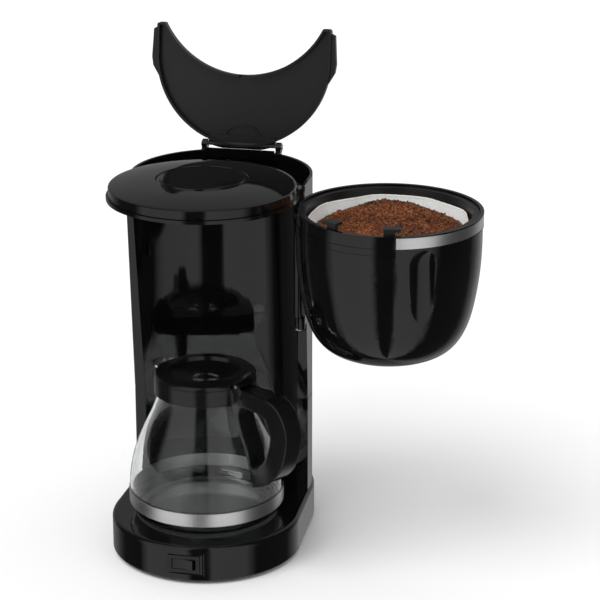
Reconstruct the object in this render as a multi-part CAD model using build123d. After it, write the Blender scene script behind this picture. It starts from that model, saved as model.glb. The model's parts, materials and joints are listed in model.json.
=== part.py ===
from build123d import *
from math import sin, cos, radians
import os

os.makedirs("parts", exist_ok=True)

# Frame: millimetres, +Z up, front towards -Y. The origin is on the table, on the upright
# axis that the brew head, the closed basket, the warming plate and the carafe share.

# --- driving dimensions -------------------------------------------------------------
WALL = 2.6            # moulded housing wall
TANK_R = 84.0         # back arc of the tower, and its half width
TANK_Y = 70.0         # centre of that arc behind the origin
FOOT_H = 3.0
BASE_R = 88.0         # front of the base platform
BASE_BACK_R = 86.0
DECK_TOP = 36.0       # top of the base platform
PLATE_TOP = 37.0      # warming plate, and so the carafe's foot
SEAM_Z = 130.0        # joint between the base shell and the tower shell
TOWER_TOP = 342.0
BAY_R_TOP = 89.0      # concave front wall of the tower, top and seam
BAY_R_LOW = 94.0
EDGE_Y_TOP = 42.0     # front edges of the tower, which slope back as they go down
EDGE_Y_LOW = 58.0
TANK_FLOOR = 136.0
HEAD_R = 86.0         # round deck that carries the brew head cover
HEAD_UNDER = 339.0
COVER_R = 84.0
COVER_EDGE = 350.5
SHOWER_R = 26.0

PIVOT_X, PIVOT_Y = 80.0, 36.0      # upright axis of the basket's swing
SWING_OPEN = 143.8                 # degrees from under the head to fully open
RIM_TOP = 332.5
BOWL_R = 83.0
BOWL_BOTTOM = 196.5

LID_PIVOT_Y, LID_PIVOT_Z = 152.5, 346.2
LID_OPEN = 97.0
LID_UNDER, LID_TOP = 347.9, 350.5
LID_INNER_R = 85.6

CARAFE_TURN = -32.0                # handle's direction, degrees from +X
GLASS_R = 71.0
NECK_R = 43.5
GLASS_TOP = 131.0
JUG_PIVOT_X, JUG_PIVOT_Z = 51.0, 136.6
RISER_Y, RISER_Z = 103.5, 344.9

MIN_Z = (Align.CENTER, Align.CENTER, Align.MIN)


# --- helpers --------------------------------------------------------------------------
def cyl(r, z0, z1, x=0.0, y=0.0):
    return Pos(x, y, z0) * Cylinder(r, z1 - z0, align=MIN_Z)


def ring(r_out, r_in, z0, z1, x=0.0, y=0.0):
    return cyl(r_out, z0, z1, x, y) - cyl(r_in, z0 - 1, z1 + 1, x, y)


def block(x0, x1, y0, y1, z0, z1):
    return Pos((x0 + x1) / 2, (y0 + y1) / 2, (z0 + z1) / 2) * Box(x1 - x0, y1 - y0, z1 - z0)


def turned(*edges):
    """Solid of revolution about Z from edges drawn as (radius, height)."""
    face = make_face(Plane.XZ * (Curve() + list(edges)))
    return revolve(face, Axis.Z, 360)


def turned_poly(*pts):
    return turned(Polyline(*pts, pts[0]))


def upright(face, z0, z1):
    return extrude(Pos(0, 0, z0) * face, z1 - z0)


def rod_x(r, x0, x1, y, z):
    return Pos((x0 + x1) / 2, y, z) * Rot(0, 90, 0) * Cylinder(r, x1 - x0)


def rod_y(r, y0, y1, x, z):
    return Pos(x, (y0 + y1) / 2, z) * Rot(90, 0, 0) * Cylinder(r, y1 - y0)


def side_prism(pts, x0, x1):
    """Prism along X from points drawn as (y, z)."""
    face = make_face(Plane.YZ * Polyline(*pts, pts[0]))
    return extrude(Pos(x0, 0, 0) * face, x1 - x0, dir=(1, 0, 0))


def pipe(path, r_out, r_in=0.0):
    start = Plane(origin=path @ 0, z_dir=path % 0)
    solid = sweep(start * Circle(r_out), path=path)
    if r_in:
        solid -= sweep(start * Circle(r_in), path=path)
    return solid


def u_outline(r, y_front):
    return Pos(0, TANK_Y) * Circle(r) + Pos(0, (y_front + TANK_Y) / 2) * Rectangle(2 * r, TANK_Y - y_front)


def base_outline(inset):
    front, back = BASE_R - inset, BASE_BACK_R - inset
    sides = make_face(Polyline((-front, 0), (front, 0), (back, TANK_Y), (-back, TANK_Y), (-front, 0)))
    return Circle(front) + sides + Pos(0, TANK_Y) * Circle(back)


def bay(extra=0.0):
    """Conical hollow of the tower's concave front."""
    h = TOWER_TOP - SEAM_Z
    slope = (BAY_R_LOW - BAY_R_TOP) / h
    return Pos(0, 0, SEAM_Z - 10) * Cone(
        BAY_R_LOW + extra + 10 * slope, BAY_R_TOP + extra - 10 * slope, h + 20, align=MIN_Z
    )


def in_front(shift=0.0):
    """Everything ahead of the tower's sloping front edges."""
    slope = (EDGE_Y_TOP - EDGE_Y_LOW) / (TOWER_TOP - SEAM_Z)
    y_low, y_top = EDGE_Y_LOW + shift - 10 * slope, EDGE_Y_TOP + shift + 10 * slope
    low, high = SEAM_Z - 10, TOWER_TOP + 10
    return side_prism([(-120, low), (y_low, low), (y_top, high), (-120, high)], -120, 120)


def swung(shape):
    return Pos(PIVOT_X, PIVOT_Y, 0) * Rot(0, 0, SWING_OPEN) * Pos(-PIVOT_X, -PIVOT_Y, 0) * shape


def lid_raised(shape):
    hinge = Pos(0, LID_PIVOT_Y, LID_PIVOT_Z)
    return hinge * Rot(-LID_OPEN, 0, 0) * Pos(0, -LID_PIVOT_Y, -LID_PIVOT_Z) * shape


def on_plate(shape):
    return Pos(0, 0, PLATE_TOP) * Rot(0, 0, CARAFE_TURN) * shape


parts = {}

# --- base -----------------------------------------------------------------------------
platform = upright(base_outline(0), FOOT_H, DECK_TOP)
platform = fillet(platform.edges().group_by(Axis.Z)[-1], 4.0)
platform = chamfer(platform.edges().group_by(Axis.Z)[0], 1.2)
column = upright(u_outline(TANK_R, 20), DECK_TOP - 6, SEAM_Z) - cyl(BAY_R_LOW, DECK_TOP, SEAM_Z + 1)
column -= block(-120, 120, -100, EDGE_Y_LOW, DECK_TOP - 10, SEAM_Z + 1)
column -= upright(u_outline(TANK_R + 2, 20), SEAM_Z - 0.9, SEAM_Z + 1) \
    - upright(u_outline(TANK_R - 0.7, 20), SEAM_Z - 2, SEAM_Z + 2)
hollow_low = upright(base_outline(WALL), FOOT_H - 1, DECK_TOP - WALL)
hollow_high = upright(u_outline(TANK_R - WALL, 20), DECK_TOP - 8, SEAM_Z + 1) \
    - cyl(BAY_R_LOW + WALL, DECK_TOP - 9, SEAM_Z + 2) \
    - block(-120, 120, -100, EDGE_Y_LOW + WALL, DECK_TOP - 9, SEAM_Z + 2)
base = platform + column - hollow_low - hollow_high - cyl(61.5, DECK_TOP - 8, DECK_TOP + 4)
SCREWS = [(-74, 10), (74, 10), (-61.4, 118.1), (61.4, 118.1)]
for sx, sy in SCREWS:
    base += cyl(6.0, 5.5, DECK_TOP - WALL if sy < 50 else 30, sx, sy)
    base -= cyl(1.5, 5.0, 17, sx, sy)
base += block(-19, 19, -86.2, -82, 8, 30)
base -= block(-17, 17, -95, -86.2, 9.5, 28.5)
base -= block(-13, 13, -90, -80, 12.5, 25.5)
base -= rod_y(6.0, 145, 165, 0, 17)
parts["base_shell"] = base

cover = upright(base_outline(3.0), FOOT_H, 5.5)
for sx, sy in SCREWS:
    cover -= cyl(1.9, 2, 6, sx, sy) + cyl(3.8, 2, 4.6, sx, sy)
for i in range(7):
    cover -= block(-21 + i * 7 - 1.3, -21 + i * 7 + 1.3, 84, 106, 2, 6)
parts["bottom_cover"] = cover
parts["cover_screws"] = Compound(children=[
    cyl(3.6, 3.2, 4.6, sx, sy) - block(sx - 2.4, sx + 2.4, sy - 0.5, sy + 0.5, 3.0, 3.9)
    - block(sx - 0.5, sx + 0.5, sy - 2.4, sy + 2.4, 3.0, 3.9) + cyl(1.5, 4.6, 16, sx, sy)
    for sx, sy in SCREWS])
parts["rubber_feet"] = Compound(children=[
    ring(64, 57, 0, FOOT_H), cyl(8, 0, FOOT_H, -52, 116), cyl(8, 0, FOOT_H, 52, 116)])

plate_low = 35.4
parts["warming_plate"] = turned_poly((0, plate_low), (60, plate_low), (61, DECK_TOP), (66, DECK_TOP),
                                     (66, 36.6), (62.5, PLATE_TOP), (0, PLATE_TOP))
loop = FilletPolyline(
    (22, 62, 26), (22, 40, 26), (44, 18, 26), (44, -24, 26), (24, -44, 26),
    (-24, -44, 26), (-44, -24, 26), (-44, 18, 26), (-22, 40, 26), (-22, 62, 26), radius=9)
element = pipe(loop, 5.5, 3.5) + (cyl(50, 30.5, plate_low) - cyl(30, 29, 36)) - pipe(loop, 3.5)
parts["heating_element"] = element
parts["thermostat"] = cyl(9, 28.4, plate_low) + block(-14, 14, -3, 3, 26.8, 28.4) \
    + block(-14, -11, -2.5, 2.5, 20, 26.8) + block(11, 14, -2.5, 2.5, 20, 26.8)
parts["thermal_fuse"] = rod_y(2.4, -18, 12, -21, 32.9) + rod_y(1.0, 12, 18, -21, 32.9)

# --- tower and tank -------------------------------------------------------------------
body = upright(u_outline(TANK_R, 20), SEAM_Z, TOWER_TOP) - bay() - in_front()
deck = cyl(HEAD_R, HEAD_UNDER, TOWER_TOP)
bridge = cyl(BAY_R_TOP + 1, HEAD_UNDER, TOWER_TOP) & upright(u_outline(TANK_R, 20), HEAD_UNDER, TOWER_TOP)
bridge -= in_front()
tank = upright(u_outline(TANK_R - WALL, 20), TANK_FLOOR, TOWER_TOP + 1) - bay(WALL) - in_front(3.2)
tower = body + deck + bridge - tank
tower += cyl(6.0, HEAD_UNDER, TOWER_TOP, PIVOT_X, PIVOT_Y)
knuckle = cyl(6.0, 208, 219, PIVOT_X, PIVOT_Y) + block(PIVOT_X - 4.5, TANK_R, PIVOT_Y, 56, 208, 219)
tower += knuckle - bay(-6)
tower -= cyl(2.0, 200, 360, PIVOT_X, PIVOT_Y)
tower -= cyl(SHOWER_R, HEAD_UNDER - 1, TOWER_TOP + 1)
OUTLET_X, OUTLET_Y = 36.0, 112.0
tower += cyl(6.0, 122, TANK_FLOOR + 2, OUTLET_X, OUTLET_Y)
tower -= cyl(4.0, 121, TANK_FLOOR + 3, OUTLET_X, OUTLET_Y)
tower += cyl(5.5, SEAM_Z, TANK_FLOOR + 8, 0, RISER_Y)
tower -= cyl(3.5, SEAM_Z - 1, SEAM_Z + 3, 0, RISER_Y) + cyl(2.75, SEAM_Z, TANK_FLOOR + 9, 0, RISER_Y)
tower -= block(-32.9, 32.9, 140, 158, HEAD_UNDER, TOWER_TOP + 1)
ear = [(141.5, 334), (145.0, 334), (157, 342.5), (157, 347.5), (154.2, 350.3), (151, 350.3), (147.8, 347.0),
       (147.8, TOWER_TOP), (141.5, TOWER_TOP)]
tower += side_prism(ear, 33.5, 38.5) + side_prism(ear, -38.5, -33.5)
tower += block(-34.5, 34.5, 141.6, 143.4, 336.0, TOWER_TOP)
tower += block(-33.6, 33.6, 141.6, 143.4, TOWER_TOP - 1, 344.8)
tower -= rod_x(1.5, -45, 45, LID_PIVOT_Y, LID_PIVOT_Z)
parts["tower_shell"] = tower

parts["lid_hinge_pin"] = rod_x(1.5, -38.5, 38.5, LID_PIVOT_Y, LID_PIVOT_Z) \
    + rod_x(2.4, 38.5, 39.6, LID_PIVOT_Y, LID_PIVOT_Z) + rod_x(2.4, -39.6, -38.5, LID_PIVOT_Y, LID_PIVOT_Z)
parts["basket_hinge_pins"] = Compound(children=[
    cyl(2.0, 322, TOWER_TOP, PIVOT_X, PIVOT_Y) + cyl(2.8, TOWER_TOP, TOWER_TOP + 1.2, PIVOT_X, PIVOT_Y),
    cyl(2.0, 208, 236, PIVOT_X, PIVOT_Y) + cyl(3.6, 206.6, 208, PIVOT_X, PIVOT_Y)])

# --- brew head ------------------------------------------------------------------------
parts["head_cover"] = turned(
    Polyline((COVER_R - 2, TOWER_TOP), (COVER_R, TOWER_TOP), (COVER_R, COVER_EDGE - 0.8),
             (COVER_R - 0.8, COVER_EDGE)),
    Spline((COVER_R - 0.8, COVER_EDGE), (64, 353.9), (41.6, 356.0)),
    Polyline((41.6, 356.0), (41.1, 355.0), (38.3, 355.0), (37.7, 356.5), (0, 356.9), (0, 354.7),
             (34.5, 354.3), (37.5, 352.9), (44.5, 352.9)),
    Spline((44.5, 352.9), (64, 351.5), (COVER_R - 2, 348.2)),
    Line((COVER_R - 2, 348.2), (COVER_R - 2, TOWER_TOP)),
) - block(-3.1, 3.1, 78, 86, TOWER_TOP - 1, 347.9)

shower = cyl(SHOWER_R - 0.1, 338.6, TOWER_TOP) + cyl(29.5, TOWER_TOP, 343.4) + cyl(24.5, 343.4, 350.0)
shower -= cyl(23.0, 340.2, 348.5)
for n, r in ((1, 0), (6, 8.5), (12, 17.5)):
    for i in range(n):
        a = radians(360 / n * i)
        shower -= cyl(1.3, 338, 341, r * cos(a), r * sin(a))
shower -= rod_y(2.75, 15, 30, 0, RISER_Z)
parts["shower_head"] = shower

riser = FilletPolyline((0, RISER_Y, 108), (0, RISER_Y, RISER_Z), (0, 20, RISER_Z), radius=9)
parts["riser_tube"] = pipe(riser, 2.75, 1.9) + ring(3.5, 2.3, 108, SEAM_Z + 3, 0, RISER_Y)

# --- water path and wiring in the base ------------------------------------------------
valve = cyl(7.0, 102, 122, OUTLET_X, OUTLET_Y) + cyl(3.5, 90, 102, OUTLET_X, OUTLET_Y)
valve -= cyl(2.4, 89, 110, OUTLET_X, OUTLET_Y) + cyl(5.0, 108, 120, OUTLET_X, OUTLET_Y) \
    + cyl(3.6, 119, 123, OUTLET_X, OUTLET_Y)
parts["check_valve"] = valve
cold = FilletPolyline(
    (OUTLET_X, OUTLET_Y, 102), (OUTLET_X, OUTLET_Y, 26), (22, 78, 26), (22, 62, 26), radius=14)
parts["cold_hose"] = pipe(cold, 5.4, 3.5)
hot = FilletPolyline((0, RISER_Y, 128), (0, RISER_Y, 26), (-22, 78, 26), (-22, 62, 26), radius=12)
parts["hot_hose"] = pipe(hot, 5.4, 3.5)
parts["hose_clips"] = Compound(children=[
    ring(6.2, 5.4, 92, 98, OUTLET_X, OUTLET_Y), ring(6.2, 5.4, 112, 118, 0, RISER_Y)])
parts["terminal_block"] = block(-54, -30, 108, 122, 5.5, 17) - rod_y(2.2, 100, 130, -48, 11) \
    - rod_y(2.2, 100, 130, -42, 11) - rod_y(2.2, 100, 130, -36, 11)
parts["wiring"] = Compound(children=[
    pipe(FilletPolyline((-48, 122, 11), (-48, 134, 11), (-7, 138, 17), (-1.6, 147, 17), radius=3), 1.4),
    pipe(FilletPolyline((-36, 122, 11), (-36, 128, 11), (1.6, 131, 17), (1.6, 147, 17), radius=3), 1.4),
    pipe(FilletPolyline((-48, 108, 11), (-48, 100, 11), (-60, 60, 11), (-60, -30, 11), (-8, -60, 19),
                        (-8, -67.9, 19), radius=4), 1.4),
    pipe(FilletPolyline((-42, 108, 11), (-42, 96, 11), (-53, 60, 11), (-53, -28, 11), (-4, -58, 19),
                        (-4, -67.9, 19), radius=4), 1.4)])
parts["cord_gland"] = rod_y(8.5, 156.0, 158.2, 0, 17) + rod_y(6.0, 149, 158, 0, 17) \
    + rod_y(5.4, 158, 166, 0, 17) - rod_y(3.6, 147, 168, 0, 17)

# --- power switch ---------------------------------------------------------------------
bezel = block(-15, 15, -87.5, -86.2, 10.5, 27.5) + block(-13, 13, -86.2, -68, 12.5, 25.5)
bezel -= block(-11, 11, -90, -72, 14, 24)
bezel -= cyl(1.55, 12.9, 25.1, 0, -81)
parts["switch_housing"] = bezel
rocker_face = make_face(Polyline((-9.6, -88.4), (0, -87.0), (9.6, -88.4), (9.6, -84), (4, -78), (-4, -78),
                                 (-9.6, -84), (-9.6, -88.4)))
rocker = upright(rocker_face, 14.3, 23.7) + cyl(1.5, 13.0, 25.0, 0, -81)
parts["power_rocker"] = Pos(0, -81, 0) * Rot(0, 0, -7) * Pos(0, 81, 0) * rocker

# --- tank lid -------------------------------------------------------------------------
TIP_Y = 39.0


def crescent(inset):
    shape = u_outline(TANK_R - inset, 20) - Circle(LID_INNER_R + inset)
    return shape - Pos(0, TIP_Y + inset - 100) * Rectangle(300, 200)


lid_edge = crescent(0)
lid_edge = fillet(lid_edge.vertices().filter_by(lambda v: v.Y < TIP_Y + 1 and abs(v.X) > TANK_R - 1), 2.5)
lid = upright(lid_edge, LID_UNDER, LID_TOP)
rim = upright(crescent(0.0) - crescent(2.2), TOWER_TOP + 0.3, LID_UNDER + 0.5)
lid += rim & upright(lid_edge, TOWER_TOP, LID_TOP)
wing = make_face(Polyline((TANK_R - 0.5, 43), (TANK_R + 3.6, 45), (TANK_R + 5.2, 72), (TANK_R + 4.0, 80),
                          (TANK_R - 2.2, 90.5), (TANK_R - 3.0, 88), (TANK_R - 1.0, 72), (TANK_R - 0.5, 43)))
for side in (wing, mirror(wing, Plane.YZ)):
    lid += upright(side, 344.4, LID_TOP)
lid -= block(33.0, 39.2, 146.6, 160, 330, 360) + block(-39.2, -33.0, 146.6, 160, 330, 360)
lid += (rod_x(3.7, -32.4, 32.4, LID_PIVOT_Y, LID_PIVOT_Z)
        + block(-32.4, 32.4, 143.5, LID_PIVOT_Y, LID_PIVOT_Z - 1.0, LID_TOP)
        & upright(u_outline(TANK_R + 4, 20), 330, LID_TOP))
arch = Pos(0, 145) * (Ellipse(17.5, 12.5) - Ellipse(15.9, 10.9))
lid += upright(arch, 346.3, LID_UNDER + 0.5) & block(-20, 20, 120, 145, 340, 350)
lid -= rod_x(1.56, -50, 50, LID_PIVOT_Y, LID_PIVOT_Z)
lid -= block(-3.6, 3.6, LID_INNER_R - 4, LID_INNER_R + 2.3, TOWER_TOP, LID_UNDER)
parts["tank_lid"] = lid_raised(lid)

# --- swing-out basket -----------------------------------------------------------------
def bowl_body():
    return turned(
        Line((0, BOWL_BOTTOM), (14, BOWL_BOTTOM)),
        Spline((14, BOWL_BOTTOM), (40, 199.2), (58, 207.5), (70, 224), (78, 252), (82, 282), (BOWL_R, 306)),
        Polyline((BOWL_R, 306), (BOWL_R, RIM_TOP), (0, RIM_TOP), (0, BOWL_BOTTOM)))


def bowl_inside():
    low = BOWL_BOTTOM + 2.4
    return turned(
        Line((0, low), (14, low)),
        Spline((14, low), (39, 201.6), (56.4, 209.6), (68, 225.6), (75.7, 252.8), (79.6, 282),
               (BOWL_R - 2.4, 306)),
        Polyline((BOWL_R - 2.4, 306), (BOWL_R - 2.4, 345), (0, 345), (0, low)))


GRIP_TURN = 157.0
grip_x, grip_y = 100 * cos(radians(GRIP_TURN)), 100 * sin(radians(GRIP_TURN))


def capsule(r):
    return cyl(r, 247, 305, grip_x, grip_y) + Pos(grip_x, grip_y, 247) * Sphere(r) \
        + Pos(grip_x, grip_y, 305) * Sphere(r)


PIVOT_TURN = 24.2277
side_a = (200 * cos(radians(14)), 200 * sin(radians(14)))
side_b = (200 * cos(radians(140)), 200 * sin(radians(140)))
keep_out = make_face(Polyline((0, 0), side_a, (200, 200), (-200, 200), side_b, (0, 0)))
web = Rot(0, 0, PIVOT_TURN) * block(55, 88, -2.6, 2.6, 222, 330)
barrel = cyl(4.9, 219.3, HEAD_UNDER - 0.5, PIVOT_X, PIVOT_Y)
bowl = bowl_body() + web + (barrel - cyl(BOWL_R - 2.4, 200, 345))
bowl += ring(BOWL_R + 0.8, BOWL_R - 1, 319.6, 321.2) + ring(BOWL_R + 0.8, BOWL_R - 1, 331.3, RIM_TOP)
apron = ring(BOWL_R + 0.8, BOWL_R - 1, 313.6, 320.4) - ring(BOWL_R + 2, BOWL_R + 0.2, 315.2, 318.8)
bowl += apron & upright(keep_out, 300, 345)
bowl -= bowl_inside() - capsule(24.4)
bowl -= capsule(22.0)
bowl += ring(BOWL_R - 2.0, 78.2, 326.8, 328.8)
bowl += cyl(9.5, 191.5, BOWL_BOTTOM + 1)
bowl -= cyl(5.6, 190, BOWL_BOTTOM + 3)
bowl -= cyl(2.06, 200, 360, PIVOT_X, PIVOT_Y)
parts["basket_bowl"] = swung(bowl)

band = ring(BOWL_R + 0.7, BOWL_R + 0.02, 321.3, 331.2)
parts["basket_band"] = swung(band - upright(keep_out, 300, 345))

insert_out = turned_poly(
    (0, 230), (26, 230), (31, 233), (60, 276), (74.4, 322), (76.4, 328.8), (80.2, 328.8), (80.2, 330.8),
    (0, 330.8))
insert_in = turned_poly(
    (0, 232), (25.2, 232), (29.6, 234.4), (58.5, 276.6), (72.8, 322.4), (74.6, 332), (0, 332))
insert = insert_out - insert_in + cyl(10.6, 203.6, 231)
insert -= cyl(8.6, 206, 222) + cyl(3.3, 200, 207)
for i in range(4):
    insert -= cyl(1.9, 221, 233, 5.6 * cos(radians(90 * i + 45)), 5.6 * sin(radians(90 * i + 45)))
inside_ribs = turned_poly((0, 231), (24.4, 231), (28.8, 234.8), (57.7, 277), (72.0, 322.8), (73, 333), (0, 333))
for i in range(12):
    insert += Rot(0, 0, 15 + 30 * i) * (block(30, 80, -0.6, 0.6, 233, 318) & (insert_in - inside_ribs))
for turn, lean in ((97.0, -1), (136.0, 1)):
    hook = block(76.2, 79.8, -5.0, 5.0, 330.0, 338.2) \
        + block(70.0, 79.8, -7.5 + 2.5 * lean, 7.5 + 2.5 * lean, 335.4, 338.2)
    insert += Rot(0, 0, turn) * hook
insert -= Rot(0, 0, 118) * cyl(9, 329.6, 333, 84.6, 0)
parts["filter_insert"] = swung(insert)

paper_out = turned_poly(
    (0, 232.1), (24.1, 232.1), (28.3, 235.1), (57.4, 277.2), (71.8, 323), (72.0, 326.8), (0, 326.8))
paper_in = turned_poly(
    (0, 232.7), (23.8, 232.7), (27.8, 235.6), (56.9, 277.5), (71.2, 323.2), (71.4, 328), (0, 328))
parts["paper_filter"] = swung(paper_out - paper_in)
parts["coffee_grounds"] = swung(turned(
    Polyline((0, 232.9), (23.5, 232.9), (27.4, 236.0), (56.5, 277.8), (69.6, 320.0)),
    Spline((69.6, 320.0), (52, 323.5), (26, 331.5), (0, 335.6)),
    Line((0, 335.6), (0, 232.9))))

stem = cyl(2.2, 192.4, 214) + cyl(4.9, 190, 192.6) + cyl(6.6, 208.6, 210)
parts["drip_valve"] = swung(stem)
parts["valve_seal"] = swung(ring(7.0, 2.2, 206.1, 208.6))
coil = Pos(0, 0, 210.5) * Helix(pitch=2.25, height=10.8, radius=5.0)
parts["valve_spring"] = swung(sweep(Plane(origin=coil @ 0, z_dir=coil % 0) * Circle(0.4), path=coil))

# --- carafe ---------------------------------------------------------------------------
glass_out = turned(
    Line((0, 1.2), (52, 1.2)), Line((52, 1.2), (52.6, 0)), Line((52.6, 0), (57.5, 0)),
    Spline((57.5, 0), (66.5, 3.6), (GLASS_R, 11)), Line((GLASS_R, 11), (GLASS_R, 25)),
    Spline((GLASS_R, 25), (70, 41), (65, 63), (56.5, 84), (48, 103), (NECK_R, 118)),
    Line((NECK_R, 118), (NECK_R, GLASS_TOP)), Line((NECK_R, GLASS_TOP), (0, GLASS_TOP)),
    Line((0, GLASS_TOP), (0, 1.2)))
glass_in = turned(
    Line((0, 4.2), (55, 4.2)), Spline((55, 4.2), (64.8, 6.6), (GLASS_R - 2, 12.5)),
    Line((GLASS_R - 2, 12.5), (GLASS_R - 2, 25)),
    Spline((GLASS_R - 2, 25), (68, 40.6), (63.1, 62.2), (54.7, 83.2), (46.2, 102.2), (NECK_R - 2, 118)),
    Line((NECK_R - 2, 118), (NECK_R - 2, 150)), Line((NECK_R - 2, 150), (0, 150)), Line((0, 150), (0, 4.2)))
LIP = Pos(-40.5, 0, 121) * Rot(0, -40, 0)
lip_out = LIP * Cylinder(13.0, 60) & block(-80, -36, -20, 20, 104, GLASS_TOP)
lip_in = LIP * Cylinder(11.2, 90) & block(-80, -30, -20, 20, 100, GLASS_TOP + 5)
glass = glass_out + lip_out - glass_in - (lip_in - cyl(NECK_R - 2.1, 0, 116))
parts["carafe_glass"] = on_plate(glass)
parts["carafe_band"] = on_plate(ring(GLASS_R + 0.8, GLASS_R + 0.03, 12, 24.5))

loop_out = make_face(Curve() + [
    Line((44.8, 117.5), (44.8, 135.0)), Line((44.8, 135.0), (82, 133.6)),
    Spline((82, 133.6), (102, 127.5), (112.5, 110), (112, 88), (103, 66), (88, 52), (72, 44.5)),
    Line((72, 44.5), (70.3, 44.5)),
    Spline((70.3, 44.5), (65.9, 62.8), (57.2, 84.2), (48.6, 103.3), (44.8, 117.5))])
loop_gap = make_face(Curve() + [
    Spline((53, 110), (57.5, 117.5), (72, 118.2), (86, 115), (91.8, 104), (91, 88), (84.5, 73.5),
           (74, 63.5), (70.6, 62.5), (66.5, 73), (60.5, 88), (55.5, 100), (53, 110))])
grip = Plane.XZ * (loop_out - loop_gap)
grip = extrude(grip, 10, both=True)
collar = ring(47.0, NECK_R + 0.3, 117.5, 133.0) + ring(47.0, NECK_R - 1.5, GLASS_TOP + 0.1, 133.0)
collar -= block(-60, -36, -15, 15, 110, 140)
LUG_TOP = JUG_PIVOT_Z + 2.5
lugs = block(46.5, 55, 7.4, 11.0, 130, LUG_TOP) + block(46.5, 55, -11.0, -7.4, 130, LUG_TOP)
handle = grip + collar + lugs - block(43.0, 56.5, -7.4, 7.4, 133.05, 142)
handle -= rod_y(1.25, -12, 12, JUG_PIVOT_X, JUG_PIVOT_Z)
handle -= cyl(NECK_R + 0.2, 100, 131.05)
parts["carafe_handle"] = on_plate(handle)

jug_lid = turned_poly(
    (12.5, 127.5), (14.2, 127.5), (30.5, 131.6), (37.5, 133.2), (38.6, 124.0), (40.6, 124.0),
    (40.9, 133.2), (46.6, 133.2), (46.6, 135.0), (45.2, 136.4), (36.0, 137.4), (33.6, 138.4),
    (32.0, 138.4), (31.0, 135.0), (29.0, 133.6), (14.2, 129.6), (12.5, 129.6))
for i in range(4):
    jug_lid += Rot(0, 0, 45 + 90 * i) * block(4, 13.5, -1.3, 1.3, 127.6, 129.4)
jug_lid += cyl(6.0, 127.0, 130.4)
for i in range(5):
    a = 180 + (i - 2) * 12
    jug_lid -= Rot(0, 0, a) * block(25.5, 29.0, -1.0, 1.0, 125, 140)
jug_lid -= block(-60, -43.5, -13, 13, 130, 140)
jug_lid -= block(44.4, 60, -12, 12, 130, 140)
jug_lid += rod_y(3.2, -7.0, 7.0, JUG_PIVOT_X, JUG_PIVOT_Z)
jug_lid += block(42, JUG_PIVOT_X, -7.0, 7.0, 134.4, JUG_PIVOT_Z + 2.0)
tongue = Pos(JUG_PIVOT_X, 0, JUG_PIVOT_Z) * Rot(0, -48, 0) * (
    block(0, 11, -7.0, 7.0, 0.6, 3.2) + cyl(7.0, 0.6, 3.2, 11.0, 0))
jug_lid += tongue
jug_lid -= rod_y(1.3, -15, 15, JUG_PIVOT_X, JUG_PIVOT_Z)
parts["carafe_lid"] = on_plate(jug_lid)
parts["carafe_lid_pin"] = on_plate(rod_y(1.25, -11, 11, JUG_PIVOT_X, JUG_PIVOT_Z))

for name, shape in parts.items():
    export_step(shape, f"parts/{name}.step")
    b = shape.bounding_box()
    print(f"{name:20s} solids {len(shape.solids())} volume {shape.volume:10.1f}",
          [round(v, 1) for v in (*b.min, *b.max)])
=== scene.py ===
"""Looks for a drip coffee maker: a swing-out filter basket, a lidded tank and a glass carafe.

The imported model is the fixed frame. Its nodes keep their shape and get softened edges and
procedural materials, and the coffee and its paper filter are modelled here. Units are metres.
"""
import json
from math import cos, pi, radians, sin, tau

import bpy
import numpy as np
from mathutils import Matrix, Vector, noise


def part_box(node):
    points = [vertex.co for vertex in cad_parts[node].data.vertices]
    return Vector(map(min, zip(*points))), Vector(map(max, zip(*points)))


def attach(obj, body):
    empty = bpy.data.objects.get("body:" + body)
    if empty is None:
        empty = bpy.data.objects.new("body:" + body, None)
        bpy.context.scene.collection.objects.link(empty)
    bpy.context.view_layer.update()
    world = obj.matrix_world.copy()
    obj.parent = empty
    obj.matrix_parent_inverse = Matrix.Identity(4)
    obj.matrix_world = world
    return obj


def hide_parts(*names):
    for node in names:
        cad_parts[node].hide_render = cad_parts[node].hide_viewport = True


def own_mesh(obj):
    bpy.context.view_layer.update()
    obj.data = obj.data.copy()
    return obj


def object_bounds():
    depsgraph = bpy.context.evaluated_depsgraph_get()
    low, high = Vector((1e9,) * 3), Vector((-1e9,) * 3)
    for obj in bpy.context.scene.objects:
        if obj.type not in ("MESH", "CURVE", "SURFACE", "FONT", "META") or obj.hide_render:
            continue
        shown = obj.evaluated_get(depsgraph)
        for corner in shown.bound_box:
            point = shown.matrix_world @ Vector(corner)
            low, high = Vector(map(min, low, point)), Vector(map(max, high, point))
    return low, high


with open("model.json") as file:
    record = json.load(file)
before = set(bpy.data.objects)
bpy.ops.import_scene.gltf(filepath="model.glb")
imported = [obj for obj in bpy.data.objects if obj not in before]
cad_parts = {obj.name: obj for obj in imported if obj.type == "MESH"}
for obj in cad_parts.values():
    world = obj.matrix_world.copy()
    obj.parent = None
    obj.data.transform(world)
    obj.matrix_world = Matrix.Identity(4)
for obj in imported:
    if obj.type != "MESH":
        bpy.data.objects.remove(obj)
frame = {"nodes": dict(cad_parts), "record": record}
cad_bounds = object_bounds()
cad = frame["nodes"]

MM = 0.001
VIEW_AZIMUTH, VIEW_ELEVATION = 12.0, 19.0     # degrees, as in the photograph
LENS, SENSOR = 135.0, 36.0                    # millimetres
CAMERA_DISTANCE = 2.06
AIM_ABOVE_MIDDLE = 0.004
AMBIENT = 0.80                                # studio light on matt surfaces
SUN_STRENGTH, SUN_WIDTH = 1.5, 40.0           # width in degrees
SUN_AZIMUTH, SUN_ELEVATION = -35, 58
FLOOR_HALF = 12.0


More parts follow.
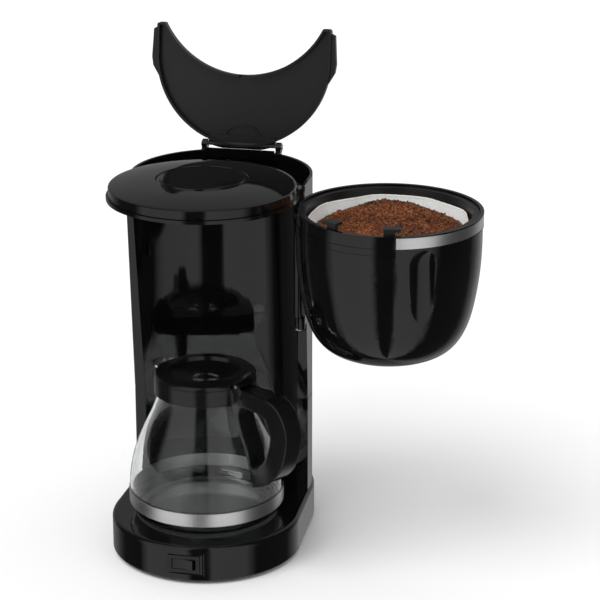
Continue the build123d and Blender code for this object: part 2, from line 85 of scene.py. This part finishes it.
# --- shader helpers ---------------------------------------------------------------------
class Finish:
    """One procedural material, read in the object's own coordinates, in metres."""

    def __init__(self, name, **values):
        self.material = bpy.data.materials.new(name)
        self.material.use_nodes = True
        self.tree = self.material.node_tree
        self.shader = self.tree.nodes["Principled BSDF"]
        self.output = self.tree.nodes["Material Output"]
        self.place = self.add("ShaderNodeTexCoord").outputs["Object"]
        for socket, value in values.items():
            self.shader.inputs[socket.replace("_", " ")].default_value = value

    def add(self, kind, **settings):
        node = self.tree.nodes.new(kind)
        for name, value in settings.items():
            setattr(node, name, value)
        return node

    def join(self, source, target):
        self.tree.links.new(source, target)

    def to_shader(self, source, socket):
        self.join(source, self.shader.inputs[socket])

    def stretched(self, scale):
        node = self.add("ShaderNodeMapping")
        node.inputs["Scale"].default_value = scale
        self.join(self.place, node.inputs["Vector"])
        return node.outputs["Vector"]

    def noise(self, scale, stretch=(1, 1, 1), detail=3.0, rough=0.5):
        node = self.add("ShaderNodeTexNoise")
        node.inputs["Scale"].default_value = scale
        node.inputs["Detail"].default_value = detail
        node.inputs["Roughness"].default_value = rough
        self.join(self.stretched(stretch), node.inputs["Vector"])
        return node.outputs["Fac"]

    def cells(self, scale):
        node = self.add("ShaderNodeTexVoronoi")
        node.inputs["Scale"].default_value = scale
        self.join(self.place, node.inputs["Vector"])
        return node.outputs["Distance"]

    def span(self, value, low, high, start=0.3, end=0.7):
        """Value, which runs from start to end, mapped to low..high."""
        node = self.add("ShaderNodeMapRange")
        for socket, number in (("From Min", start), ("From Max", end), ("To Min", low), ("To Max", high)):
            node.inputs[socket].default_value = number
        self.join(value, node.inputs["Value"])
        return node.outputs["Result"]

    def tint(self, value, *stops):
        """Colour ramp from (position, (r, g, b)) stops."""
        node = self.add("ShaderNodeValToRGB")
        elements = node.color_ramp.elements
        while len(elements) < len(stops):
            elements.new(0.5)
        for element, (position, colour) in zip(elements, stops):
            element.position = position
            element.color = (*colour, 1)
        self.join(value, node.inputs["Fac"])
        return node.outputs["Color"]

    def maths(self, operation, a, b):
        node = self.add("ShaderNodeMath", operation=operation)
        for socket, source in zip(node.inputs, (a, b)):
            if isinstance(source, (int, float)):
                socket.default_value = source
            else:
                self.join(source, socket)
        return node.outputs["Value"]

    def bump(self, height, strength, depth, under=None):
        node = self.add("ShaderNodeBump")
        node.inputs["Strength"].default_value = strength
        node.inputs["Distance"].default_value = depth
        self.join(height, node.inputs["Height"])
        if under:
            self.join(under, node.inputs["Normal"])
        return node.outputs["Normal"]


def grey(value, blue=0.0):
    return value, value, value + blue


# --- materials --------------------------------------------------------------------------
def gloss_black():
    """Polished moulded ABS: near black, mirror-like, with faint handling haze and orange peel."""
    f = Finish("gloss_black", IOR=1.52, Specular_IOR_Level=0.5)
    haze = f.noise(14, detail=5, rough=0.62)
    hairline = f.noise(260, stretch=(1, 1, 0.12), detail=4)
    f.to_shader(f.tint(haze, (0.3, grey(0.0022)), (0.75, grey(0.0040, 0.0004))), "Base Color")
    scuffs = f.span(hairline, 0.0, 0.03, 0.45, 0.8)
    f.to_shader(f.maths("ADD", f.span(haze, 0.035, 0.085), scuffs), "Roughness")
    sink = f.bump(f.noise(30, detail=1), 0.03, 0.001)
    f.to_shader(f.bump(f.noise(420, detail=2), 0.006, 0.0003, sink), "Normal")
    return f.material


def satin_black(name="satin_black", sheen=(0.28, 0.38), shade=0.0065, grain=0.14):
    """Fine-grained moulded polypropylene."""
    f = Finish(name, IOR=1.49)
    wear = f.noise(22, detail=5, rough=0.6)
    fine = f.noise(2600, detail=2)
    f.to_shader(f.tint(wear, (0.3, grey(shade)), (0.75, grey(shade * 1.5, 0.0008))), "Base Color")
    f.to_shader(f.span(wear, *sheen), "Roughness")
    f.to_shader(f.bump(fine, grain, 0.0002), "Normal")
    return f.material


def brushed_steel(name, stretch):
    """Stainless steel with fine brushing along the direction that stretch leaves long."""
    f = Finish(name, Metallic=1.0)
    lines = f.noise(900, stretch=stretch, detail=6, rough=0.7)
    broad = f.noise(60, stretch=stretch, detail=3)
    f.to_shader(f.tint(lines, (0.25, (0.74, 0.735, 0.73)), (0.8, (0.90, 0.895, 0.885))), "Base Color")
    patches = f.span(broad, 0.0, 0.08)
    f.to_shader(f.maths("ADD", f.span(lines, 0.24, 0.36), patches), "Roughness")
    f.to_shader(f.bump(lines, 0.10, 0.0001), "Normal")
    return f.material


def plate_coating():
    """Dark non-stick enamel with fine pale speckles and a soft unevenness."""
    f = Finish("plate_coating", IOR=1.5)
    speckle = f.cells(620)
    cloud = f.noise(30, detail=4)
    f.to_shader(f.tint(speckle, (0.10, grey(0.11)), (0.2, grey(0.022)), (0.9, grey(0.030))), "Base Color")
    f.to_shader(f.span(cloud, 0.26, 0.42), "Roughness")
    f.to_shader(f.bump(f.noise(900, detail=3), 0.25, 0.0003), "Normal")
    return f.material


def cast_aluminium():
    f = Finish("aluminium", Metallic=1.0)
    cloud = f.noise(90, detail=6, rough=0.6)
    f.to_shader(f.tint(cloud, (0.3, grey(0.48)), (0.75, grey(0.70))), "Base Color")
    f.to_shader(f.span(cloud, 0.38, 0.56), "Roughness")
    f.to_shader(f.bump(f.noise(1400, detail=5), 0.4, 0.0004), "Normal")
    return f.material


def soft_polymer(name, dark, pale, sheen, depth):
    """Rubber, silicone, nylon or insulation: a matt colour with faint clouds and a fine pitted skin."""
    f = Finish(name, IOR=1.47)
    cloud = f.noise(70, detail=5, rough=0.6)
    f.to_shader(f.tint(cloud, (0.3, dark), (0.75, pale)), "Base Color")
    f.to_shader(f.span(cloud, *sheen), "Roughness")
    f.to_shader(f.bump(f.noise(1800, detail=3), depth, 0.0002), "Normal")
    return f.material


def clear_glass():
    """Borosilicate glass, very slightly rippled by blowing. Lamps reach through it."""
    f = Finish("glass", IOR=1.47, Roughness=0.0, Transmission_Weight=1.0)
    f.shader.inputs["Base Color"].default_value = (0.975, 0.99, 0.985, 1)
    f.to_shader(f.bump(f.noise(26, stretch=(1, 1, 0.6), detail=2), 0.03, 0.0015), "Normal")
    thin = f.add("ShaderNodeBsdfTransparent")
    thin.inputs["Color"].default_value = (0.86, 0.88, 0.875, 1)
    mix = f.add("ShaderNodeMixShader")
    f.join(f.add("ShaderNodeLightPath").outputs["Is Shadow Ray"], mix.inputs["Fac"])
    f.join(f.shader.outputs["BSDF"], mix.inputs[1])
    f.join(thin.outputs["BSDF"], mix.inputs[2])
    f.join(mix.outputs["Shader"], f.output.inputs["Surface"])
    return f.material


def crepe_paper():
    """White filter paper: soft fibres, fine crepe lines round the cone and small flecks."""
    f = Finish("paper", IOR=1.45, Subsurface_Weight=0.12, Subsurface_Scale=0.002)
    fibre = f.noise(1500, stretch=(1, 1, 0.5), detail=5, rough=0.7)
    crepe = f.noise(950, stretch=(0.12, 0.12, 1.6), detail=3)
    flecks = f.maths("ADD", fibre, f.span(f.cells(520), -0.45, 0.0, 0.06, 0.24))
    f.to_shader(f.tint(flecks, (0.04, (0.40, 0.39, 0.375)), (0.3, (0.72, 0.71, 0.69)),
                       (0.6, (0.86, 0.855, 0.84))), "Base Color")
    f.to_shader(f.span(fibre, 0.82, 0.96), "Roughness")
    creased = f.bump(crepe, 0.5, 0.0004)
    f.to_shader(f.bump(fibre, 0.25, 0.0002, creased), "Normal")
    return f.material


def ground_coffee():
    """Ground coffee: grains from pale reddish brown to nearly black, with broad patches that are partly
    random roast colour and partly painted shade standing in for the dark of shadowed pits; dull with a few
    oily glints.
    """
    f = Finish("coffee", IOR=1.5, Specular_IOR_Level=0.35)
    grain = f.cells(700)
    roast = f.noise(430, detail=4, rough=0.8)
    # Broad patches: partly random roast colour, partly painted shade that darkens the coffee towards black
    # like shadowed pits.
    roast_and_painted_shade = f.noise(42, detail=3)
    mixed = f.maths("ADD", f.span(roast, 0.0, 0.85, 0.34, 0.68), f.span(roast_and_painted_shade, -0.10, 0.14, 0.3, 0.7))
    f.to_shader(f.tint(mixed, (0.05, (0.010, 0.0035, 0.002)), (0.30, (0.075, 0.021, 0.007)),
                       (0.58, (0.200, 0.062, 0.020)), (0.88, (0.40, 0.150, 0.055))), "Base Color")
    f.to_shader(f.span(grain, 0.95, 0.62, 0.1, 0.7), "Roughness")
    pits = f.bump(grain, 0.6, 0.0006)
    f.to_shader(f.bump(f.noise(2400, detail=4), 0.6, 0.0003, pits), "Normal")
    return f.material


ROUND_THE_AXIS = (0.035, 0.035, 5.0)
FINISHES = {
    "gloss_black": gloss_black(),
    "satin_black": satin_black(),
    "jug_black": satin_black("jug_black", sheen=(0.12, 0.19), shade=0.004, grain=0.04),
    "white_plastic": soft_polymer("white_plastic", grey(0.66), (0.76, 0.75, 0.72), (0.34, 0.46), 0.06),
    "steel": brushed_steel("steel", ROUND_THE_AXIS),
    "turned_steel": brushed_steel("turned_steel", (1.0, 1.0, 1.0)),
    "plate_coating": plate_coating(),
    "aluminium": cast_aluminium(),
    "silicone": soft_polymer("silicone", (0.52, 0.50, 0.47), (0.64, 0.62, 0.59), (0.45, 0.60), 0.10),
    "rubber": soft_polymer("rubber", grey(0.016), grey(0.028), (0.70, 0.88), 0.30),
    "glass": clear_glass(),
    "paper": crepe_paper(),
    "coffee": ground_coffee(),
    "copper_wire": soft_polymer("copper_wire", (0.17, 0.07, 0.03), (0.24, 0.10, 0.045), (0.35, 0.5), 0.05),
}
JUG_PLASTIC = ("carafe_handle", "carafe_lid")
SMALL_STEEL = ("cover_screws", "lid_hinge_pin", "basket_hinge_pins", "hose_clips", "valve_spring",
               "carafe_lid_pin", "thermostat")


def finish_frame():
    """Gives every CAD node its material."""
    slots = {row["node"]: row["material_slot"] for row in frame["record"]["subparts"]}
    for name, node in cad.items():
        slot = slots[name]
        if name in JUG_PLASTIC:
            slot = "jug_black"
        elif name in SMALL_STEEL:
            slot = "turned_steel"
        for place in node.material_slots:
            place.material = FINISHES[slot]


# --- softened edges ---------------------------------------------------------------------
WELD_GAP = 0.01 * MM
FLAT_ANGLE, CORNER_ANGLE = 0.3, 34            # degrees: faces to merge, edges to round
EDGE_RADII = {                                # millimetres
    "base_shell": 0.7, "tower_shell": 0.5, "head_cover": 0.5, "tank_lid": 0.5, "basket_bowl": 0.35,
    "filter_insert": 0.35, "carafe_lid": 0.4, "switch_housing": 0.4, "power_rocker": 0.35,
    "bottom_cover": 0.3, "cord_gland": 0.4, "shower_head": 0.3, "rubber_feet": 0.5,
    "warming_plate": 0.3, "basket_band": 0.15, "carafe_band": 0.15,
}
GRIP_VOXEL, GRIP_PASSES = 0.6 * MM, 8


def soften(node, radius):
    """Rounds a node's sharp edges with modifiers, which leave its mesh as it is."""
    weld = node.modifiers.new("weld", "WELD")
    weld.merge_threshold = WELD_GAP
    flat = node.modifiers.new("flat_faces", "DECIMATE")
    flat.decimate_type = "DISSOLVE"
    flat.angle_limit = radians(FLAT_ANGLE)
    bevel = node.modifiers.new("edges", "BEVEL")
    bevel.width = radius
    bevel.segments = 3
    bevel.limit_method = "ANGLE"
    bevel.angle_limit = radians(CORNER_ANGLE)
    bevel.harden_normals = True
    bevel.miter_outer = "MITER_ARC"
    node.modifiers.new("shading", "WEIGHTED_NORMAL")


def melt(node, voxel, passes):
    """Rounds a moulded grip all over, also with modifiers."""
    grid = node.modifiers.new("grid", "REMESH")
    grid.mode = "VOXEL"
    grid.voxel_size = voxel
    grid.use_smooth_shade = True
    ease = node.modifiers.new("ease", "SMOOTH")
    ease.factor = 0.5
    ease.iterations = passes


# --- coffee and its paper filter ----------------------------------------------------------
paper_low, paper_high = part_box("paper_filter")
BASKET_AXIS = Vector(((paper_low.x + paper_high.x) / 2, (paper_low.y + paper_high.y) / 2))
# Radius and height of the paper's inside, in millimetres, from its foot to above its rim.
CONE = [(24.0, 232.4), (28.1, 235.4), (57.2, 277.4), (71.5, 323.1), (71.9, 331.4)]
PAPER_TOP, PAPER_THICKNESS = 0.3252, 0.25 * MM
FRONT_RISE, RIM_WAVE = 1.6 * MM, 1.8 * MM     # the rim stands higher in front, and wanders
FOLDS, FOLD_DEPTH = 9, 0.030                  # the paper stands in gentle flats, not a true circle
CRUMPLE, PLEATS, PLEAT_DEPTH = 0.30 * MM, 62, 0.12 * MM
SEAM_TURN, SEAM_HALF = radians(200), 3.2 * MM
CRIMP_PITCH, CRIMP_DEPTH = 1.1 * MM, 0.25 * MM
APEX = Vector((-0.003, 0.013))                # top of the heap, from the basket's axis
APEX_HEIGHT, SIDE_HEIGHT, FRONT_HEIGHT = 0.3358, 0.3150, 0.3262
APEX_BLUNTNESS = 0.06
LUMP_HEIGHT, CRUMB_HEIGHT, DUST_HEIGHT, PIT_DEPTH = 1.3 * MM, 2.4 * MM, 0.4 * MM, 4.6 * MM
LUMP_SCALE, CRUMB_SCALE, DUST_SCALE, PIT_SCALE = 85, 360, 1300, 78     # features per metre


def mesh_piece(name, points, faces, material, smooth=True):
    mesh = bpy.data.meshes.new(name)
    mesh.from_pydata([tuple(p) for p in points], [], faces)
    mesh.validate()
    if smooth:
        mesh.shade_smooth()
    else:
        mesh.shade_flat()
    mesh.materials.append(material)
    piece = bpy.data.objects.new(name, mesh)
    bpy.context.scene.collection.objects.link(piece)
    return piece


def ring_faces(rings, count, start=0):
    """Quads between successive rings of count points."""
    faces = []
    for i in range(rings - 1):
        for j in range(count):
            k = (j + 1) % count
            a, b = start + i * count, start + (i + 1) * count
            faces.append((a + j, a + k, b + k, b + j))
    return faces


def from_axis(radius, turn, height):
    return BASKET_AXIS.x + radius * cos(turn), BASKET_AXIS.y + radius * sin(turn), height


def paper_radius(turn, height):
    """Inside radius of the paper, in metres: a cone with soft upright folds."""
    heights = [h * MM for _, h in CONE]
    round_radius = float(np.interp(height, heights, [r * MM for r, _ in CONE]))
    flat = 1 - abs(sin(FOLDS * turn / 2 + 0.6)) ** 1.4
    return round_radius * (1 - FOLD_DEPTH * (1 - flat) * min(1.0, (height - heights[0]) / 0.04))


def filter_paper():
    """Folded cone of thin paper with an uneven top edge and a crimped seam down one side."""
    around, along = 480, 70
    low = CONE[0][1] * MM
    points = []
    for i in range(along):
        share = i / (along - 1)
        for j in range(around):
            turn = tau * j / around
            spot = Vector((cos(turn), sin(turn), share * 1.5))
            front = max(0.0, -sin(turn)) ** 2
            top = PAPER_TOP + FRONT_RISE * front + RIM_WAVE * noise.noise(spot.xy.to_3d() * 1.9)
            height = low + (top - low) * share
            radius = paper_radius(turn, height)
            pleat = sin(PLEATS * turn + 2 * noise.noise(spot * 3))
            crease = CRUMPLE * noise.noise(spot * 6.5) + PLEAT_DEPTH * pleat
            apart = abs((turn - SEAM_TURN + pi) % tau - pi) * radius
            crimp = CRIMP_DEPTH if apart < SEAM_HALF and int(height / CRIMP_PITCH) % 2 else 0.0
            points.append(from_axis(radius + crease * share - crimp, turn, height))
    faces = ring_faces(along, around)
    faces.append(tuple(reversed(range(around))))
    paper = mesh_piece("filter_paper", points, faces, FINISHES["paper"])
    thick = paper.modifiers.new("thickness", "SOLIDIFY")
    thick.thickness = PAPER_THICKNESS
    thick.offset = -1.0
    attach(paper, "insert")
    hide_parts("paper_filter")


def heap_radius(turn):
    return paper_radius(turn, SIDE_HEIGHT) - 0.7 * MM


def heap(x, y):
    """Height of the coffee over a point given from the basket's axis, with its crumbs and pits."""
    edge_radius = heap_radius(np.arctan2(y, x))
    share = min(1.0, (x * x + y * y) ** 0.5 / edge_radius)
    out = Vector((x, y)) - APEX
    along = out.normalized() if out.length > 1e-6 else Vector((1, 0))
    reach = -APEX.dot(along) + (APEX.dot(along) ** 2 - APEX.length_squared + edge_radius ** 2) ** 0.5
    slope = min(1.0, out.length / reach)
    front = max(0.0, -y / edge_radius) ** 1.5
    edge = SIDE_HEIGHT + (FRONT_HEIGHT - SIDE_HEIGHT) * front
    cone = (1 - (APEX_BLUNTNESS + slope ** 2) ** 0.5) / (1 - APEX_BLUNTNESS ** 0.5)
    dome = edge + (APEX_HEIGHT - edge) * cone
    spot = Vector((x, y, 0.37))
    lumps = LUMP_HEIGHT * noise.fractal(spot * LUMP_SCALE, 0.9, 2.1, 3)
    crumb_distances, _ = noise.voronoi(spot * CRUMB_SCALE)
    crumbs = CRUMB_HEIGHT * (0.45 - crumb_distances[0])
    pit_distances, pit_centres = noise.voronoi(spot * PIT_SCALE)
    is_pit = noise.cell(pit_centres[0] * 3.7) > 0.3
    pit = PIT_DEPTH * max(0.0, 1 - pit_distances[0] / 0.34) ** 0.6 if is_pit else 0.0
    dust = DUST_HEIGHT * noise.noise(spot * DUST_SCALE)
    settled = 1 - 0.55 * share ** 8
    return dome + (lumps + crumbs + dust - pit) * settled


GRAINS = 2800
GOLDEN, CORNER_RADIUS = 1.618, 1.902
ICOSAHEDRON = [
    (0, 1, GOLDEN), (0, -1, GOLDEN), (0, 1, -GOLDEN), (0, -1, -GOLDEN),
    (1, GOLDEN, 0), (-1, GOLDEN, 0), (1, -GOLDEN, 0), (-1, -GOLDEN, 0),
    (GOLDEN, 0, 1), (-GOLDEN, 0, 1), (GOLDEN, 0, -1), (-GOLDEN, 0, -1)]
ICOSAHEDRON_FACES = [
    (0, 1, 8), (0, 9, 1), (0, 8, 4), (0, 4, 5), (0, 5, 9), (1, 6, 8), (1, 7, 6), (1, 9, 7), (2, 10, 3),
    (2, 3, 11), (2, 4, 10), (2, 5, 4), (2, 11, 5), (3, 10, 6), (3, 6, 7), (3, 7, 11), (4, 8, 10),
    (6, 10, 8), (5, 11, 9), (7, 9, 11)]


def coffee_heap():
    """Heaped ground coffee: one rough mound that fills the paper."""
    around, rings = 440, 110
    points = [from_axis(0, 0, heap(0, 0))]
    for i in range(1, rings + 1):
        for j in range(around):
            turn = tau * j / around
            radius = heap_radius(turn) * i / rings
            points.append(from_axis(radius, turn, heap(radius * cos(turn), radius * sin(turn))))
    walls = [0.300, 0.2774, 0.250, 0.2356, 0.2330]
    for height in walls:
        for j in range(around):
            turn = tau * j / around
            points.append(from_axis(paper_radius(turn, height) - 1.2 * MM, turn, height))
    faces = [(0, 1 + j, 1 + (j + 1) % around) for j in range(around)]
    faces += [tuple(reversed(face)) for face in ring_faces(rings + len(walls), around, 1)]
    faces.append(tuple(reversed(range(len(points) - around, len(points)))))
    coffee = mesh_piece("ground_coffee", points, faces, FINISHES["coffee"])
    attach(coffee, "insert")
    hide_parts("coffee_grounds")


def loose_grains():
    """Angular grains lying on the heap."""
    rng = np.random.default_rng(7)
    solid = np.array(ICOSAHEDRON) / CORNER_RADIUS
    points, faces = [], []
    for _ in range(GRAINS):
        turn = rng.random() * tau
        radius = (heap_radius(turn) - 1.5 * MM) * rng.random() ** 0.5
        size = MM * min(1.5, 0.42 * np.exp(0.5 * rng.standard_normal()) + 0.12)
        spin = Matrix.Rotation(rng.random() * tau, 3, Vector(rng.standard_normal(3)).normalized())
        shape = solid * rng.uniform(0.62, 1.18, (12, 1)) * np.array([1.5, 1.0, 0.7]) * size
        x, y = radius * cos(turn), radius * sin(turn)
        centre = np.array(from_axis(radius, turn, heap(x, y) + 0.2 * size))
        first = len(points)
        points += [tuple(p) for p in shape @ np.array(spin).T + centre]
        faces += [tuple(first + k for k in face) for face in ICOSAHEDRON_FACES]
    grains = mesh_piece("coffee_grains", points, faces, FINISHES["coffee"], smooth=False)
    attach(grains, "insert")


# --- drip valve's spring ----------------------------------------------------------------
WIRE_RADIUS, SPRING_TURNS = 0.4 * MM, 4.8


def valve_spring():
    """Coil spring of the drip valve, wound inside the box of the model's spring."""
    low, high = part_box("valve_spring")
    middle = (low + high) / 2
    coil_radius = (high.x - low.x) / 2 - WIRE_RADIUS
    rise = high.z - low.z - 2 * WIRE_RADIUS
    along, around = 240, 12
    points = []
    for i in range(along):
        share = i / (along - 1)
        turn = tau * SPRING_TURNS * share
        out = Vector((cos(turn), sin(turn), 0))
        centre = Vector((middle.x, middle.y, low.z + WIRE_RADIUS + rise * share)) + out * coil_radius
        for j in range(around):
            side = tau * j / around
            points.append(centre + WIRE_RADIUS * (cos(side) * out - sin(side) * Vector((0, 0, 1))))
    faces = ring_faces(along, around)
    faces.append(tuple(reversed(range(around))))
    faces.append(tuple(range(len(points) - around, len(points))))
    spring = mesh_piece("drip_valve_spring", points, faces, FINISHES["turned_steel"])
    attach(spring, "insert")
    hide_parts("valve_spring")
    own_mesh(spring)


# --- studio -----------------------------------------------------------------------------
def direction(azimuth, elevation):
    """Unit vector from the object towards a place; azimuth 0 is the front, 90 the right."""
    a, e = radians(azimuth), radians(elevation)
    return Vector((sin(a) * cos(e), -cos(a) * cos(e), sin(e)))


def facing(thing, place, target):
    thing.location = place
    thing.rotation_euler = (place - target).to_track_quat("Z", "Y").to_euler()


def camera():
    data = bpy.data.cameras.new("camera")
    data.lens, data.sensor_width = LENS, SENSOR
    obj = bpy.data.objects.new("camera", data)
    low, high = cad_bounds
    target = (low + high) / 2 + Vector((0, 0, AIM_ABOVE_MIDDLE))
    facing(obj, target + direction(VIEW_AZIMUTH, VIEW_ELEVATION) * CAMERA_DISTANCE, target)
    bpy.context.scene.collection.objects.link(obj)
    bpy.context.scene.camera = obj


def sun():
    """Broad light from above that evens out the floor. It makes no highlight of its own."""
    data = bpy.data.lights.new("sun", "SUN")
    data.energy = SUN_STRENGTH
    data.angle = radians(SUN_WIDTH)
    lamp = bpy.data.objects.new("sun", data)
    facing(lamp, direction(SUN_AZIMUTH, SUN_ELEVATION), Vector((0, 0, 0)))
    lamp.visible_glossy = False
    bpy.context.scene.collection.objects.link(lamp)


# Radiance that gloss sees round the studio, by azimuth: two tall boxes in front with the dark
# camera place between them, and a weaker wall behind.
STUDIO_WALL = [
    (-75, 0.03), (-62, 0.62), (-12, 0.72), (-5, 0.02), (15, 0.02), (20, 0.72), (62, 0.62),
    (76, 0.03), (128, 0.04), (150, 0.36), (166, 0.50), (180, 0.24), (232, 0.24), (255, 0.03)]


def surroundings():
    """White studio to the eye and on matt surfaces. Gloss sees soft boxes in a dark room."""
    world = bpy.data.worlds.new("studio")
    bpy.context.scene.world = world
    world.use_nodes = True
    world.cycles.sampling_method = "NONE"
    tree = world.node_tree
    background = tree.nodes["Background"]
    place = tree.nodes.new("ShaderNodeTexCoord")
    round_about = tree.nodes.new("ShaderNodeTexGradient")
    round_about.gradient_type = "RADIAL"
    boxes = tree.nodes.new("ShaderNodeValToRGB")
    elements = boxes.color_ramp.elements
    while len(elements) < len(STUDIO_WALL):
        elements.new(0.5)
    for element, (azimuth, radiance) in zip(elements, STUDIO_WALL):
        element.position = 0.5 + (azimuth - 90) / 360
        element.color = (*grey(radiance), 1)
    path = tree.nodes.new("ShaderNodeLightPath")
    mix = tree.nodes.new("ShaderNodeMixRGB")
    mix.inputs["Color1"].default_value = (*grey(AMBIENT), 1)
    tree.links.new(place.outputs["Generated"], round_about.inputs["Vector"])
    tree.links.new(round_about.outputs["Fac"], boxes.inputs["Fac"])
    tree.links.new(path.outputs["Is Glossy Ray"], mix.inputs["Fac"])
    tree.links.new(boxes.outputs["Color"], mix.inputs["Color2"])
    tree.links.new(mix.outputs["Color"], background.inputs["Color"])


def floor():
    f = Finish("floor", Roughness=0.9, Specular_IOR_Level=0.1)
    f.to_shader(f.tint(f.noise(3, detail=4), (0.3, grey(0.90)), (0.7, grey(0.92))), "Base Color")
    corners = [(FLOOR_HALF * x, FLOOR_HALF * y, 0) for x, y in ((-1, -1), (1, -1), (1, 1), (-1, 1))]
    ground = mesh_piece("floor", corners, [(0, 1, 2, 3)], f.material)
    ground.visible_glossy = False


def studio():
    floor()
    surroundings()
    sun()
    bpy.context.scene.view_settings.view_transform = "Standard"


camera()
finish_frame()
for node_name, edge in EDGE_RADII.items():
    soften(cad[node_name], edge * MM)
melt(cad["carafe_handle"], GRIP_VOXEL, GRIP_PASSES)
filter_paper()
coffee_heap()
loose_grains()
valve_spring()
studio()
